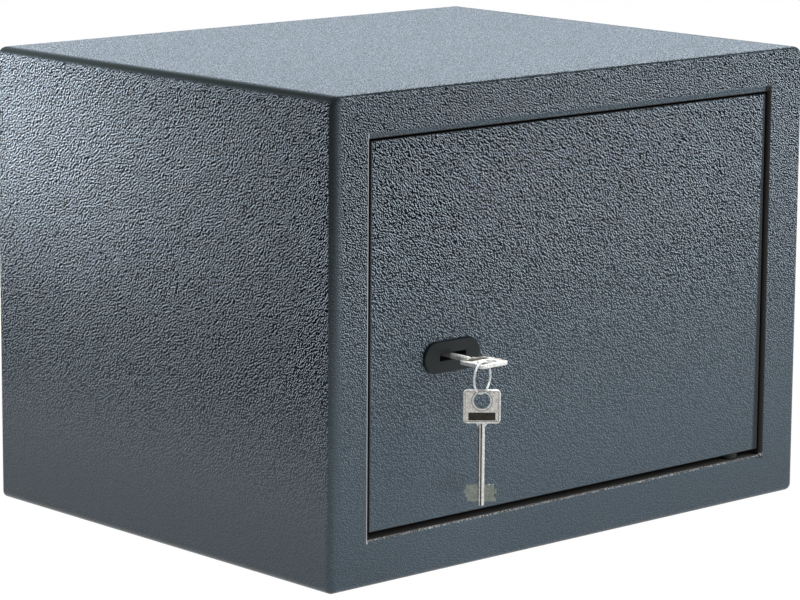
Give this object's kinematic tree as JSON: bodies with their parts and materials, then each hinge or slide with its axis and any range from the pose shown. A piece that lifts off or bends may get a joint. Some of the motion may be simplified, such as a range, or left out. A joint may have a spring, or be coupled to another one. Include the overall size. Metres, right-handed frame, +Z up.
{
  "type": "safe deposit box",
  "caption": "Small steel safe with an inset flush door on hidden hinges, a double-bit key lock in a black keyhole plate, and a spare key hanging on a split ring.",
  "frame": {"origin": "centre of the cabinet's underside, on the surface it stands on", "axes": "+X to the right seen from the front, +Y from the door towards the back panel, +Z up"},
  "size_m": [0.442, 0.3967, 0.32],
  "materials": {
    "hammer_coat": "structured powder coat with a fine pebbled grain, satin",
    "mat_felt": "needle felt",
    "bright_steel": "turned bright steel",
    "blacked_steel": "turned steel, chemically blacked",
    "zinc_steel": "bright zinc plate on pressed steel",
    "black_plastic": "moulded matt black",
    "lock_brass": "sheared and turned brass",
    "key_nickel": "nickel plate, satin faces and bright edges"
  },
  "bodies": {
    "cabinet": {"body_wrap": "hammer_coat", "front_frame": "hammer_coat", "back_panel": "hammer_coat", "floor_mat": "mat_felt", "hinge_pin_top": "blacked_steel", "hinge_pin_bottom": "blacked_steel", "hinge_washer": "black_plastic"},
    "door": {"door_panel": "hammer_coat", "door_back_cover": "hammer_coat", "cover_screws": "zinc_steel", "hinge_block_top": "hammer_coat", "hinge_block_bottom": "hammer_coat", "escutcheon": "black_plastic", "lock_case": "zinc_steel", "lock_cover": "zinc_steel", "lock_cover_screws": "zinc_steel", "lock_studs": "zinc_steel", "lock_nuts": "zinc_steel", "lever_post": "bright_steel", "guide_studs": "bright_steel", "guide_clips": "zinc_steel"},
    "rotor": {"lock_rotor": "lock_brass"},
    "lever_pack": {"lock_levers": "lock_brass"},
    "boltwork": {"lock_bolt": "bright_steel", "bolt_bar": "zinc_steel", "live_bolt_lower": "bright_steel", "live_bolt_upper": "bright_steel"},
    "turned_key": {"inserted_key": "key_nickel"},
    "key_ring": {"split_ring": "key_nickel"},
    "hanging_key": {"spare_key": "key_nickel"}
  },
  "joints": [
    {"name": "door_swing", "type": "hinge", "parent": "cabinet", "child": "door", "pos_m": [0.1614, -0.166, 0], "axis": [0, 0, 1], "range_deg": [0, 105]},
    {"name": "bolt_throw", "type": "slide", "parent": "door", "child": "boltwork", "axis": [-1, 0, 0], "range_m": [0, 0.015]},
    {"name": "key_turn", "type": "hinge", "parent": "door", "child": "rotor", "pos_m": [-0.116, -0.16, 0.143], "axis": [0, -1, 0], "range_deg": [0, 180]},
    {"name": "lever_lift", "type": "hinge", "parent": "door", "child": "lever_pack", "pos_m": [-0.092, -0.15, 0.143], "axis": [0, 1, 0], "range_deg": [0, 2], "stiffness_Nm_per_rad": 0.2, "springref_deg": -5.73},
    {"name": "key_draw", "type": "slide", "parent": "rotor", "child": "turned_key", "axis": [0, -1, 0], "range_m": [0, 0.062]},
    {"name": "ring_swing", "type": "hinge", "parent": "turned_key", "child": "key_ring", "pos_m": [-0.1244, -0.2129, 0.1443], "axis": [0.9563, 0.2924, 0], "range_deg": [-35, 10]},
    {"name": "spare_swing", "type": "hinge", "parent": "key_ring", "child": "hanging_key", "pos_m": [-0.1244, -0.2129, 0.12485], "axis": [0.9563, 0.2924, 0], "range_deg": [-35, 10]}
  ],
  "couplings": [
    {"joint": "key_turn", "follows": "bolt_throw", "rad_per_m": 209.4}
  ]
}
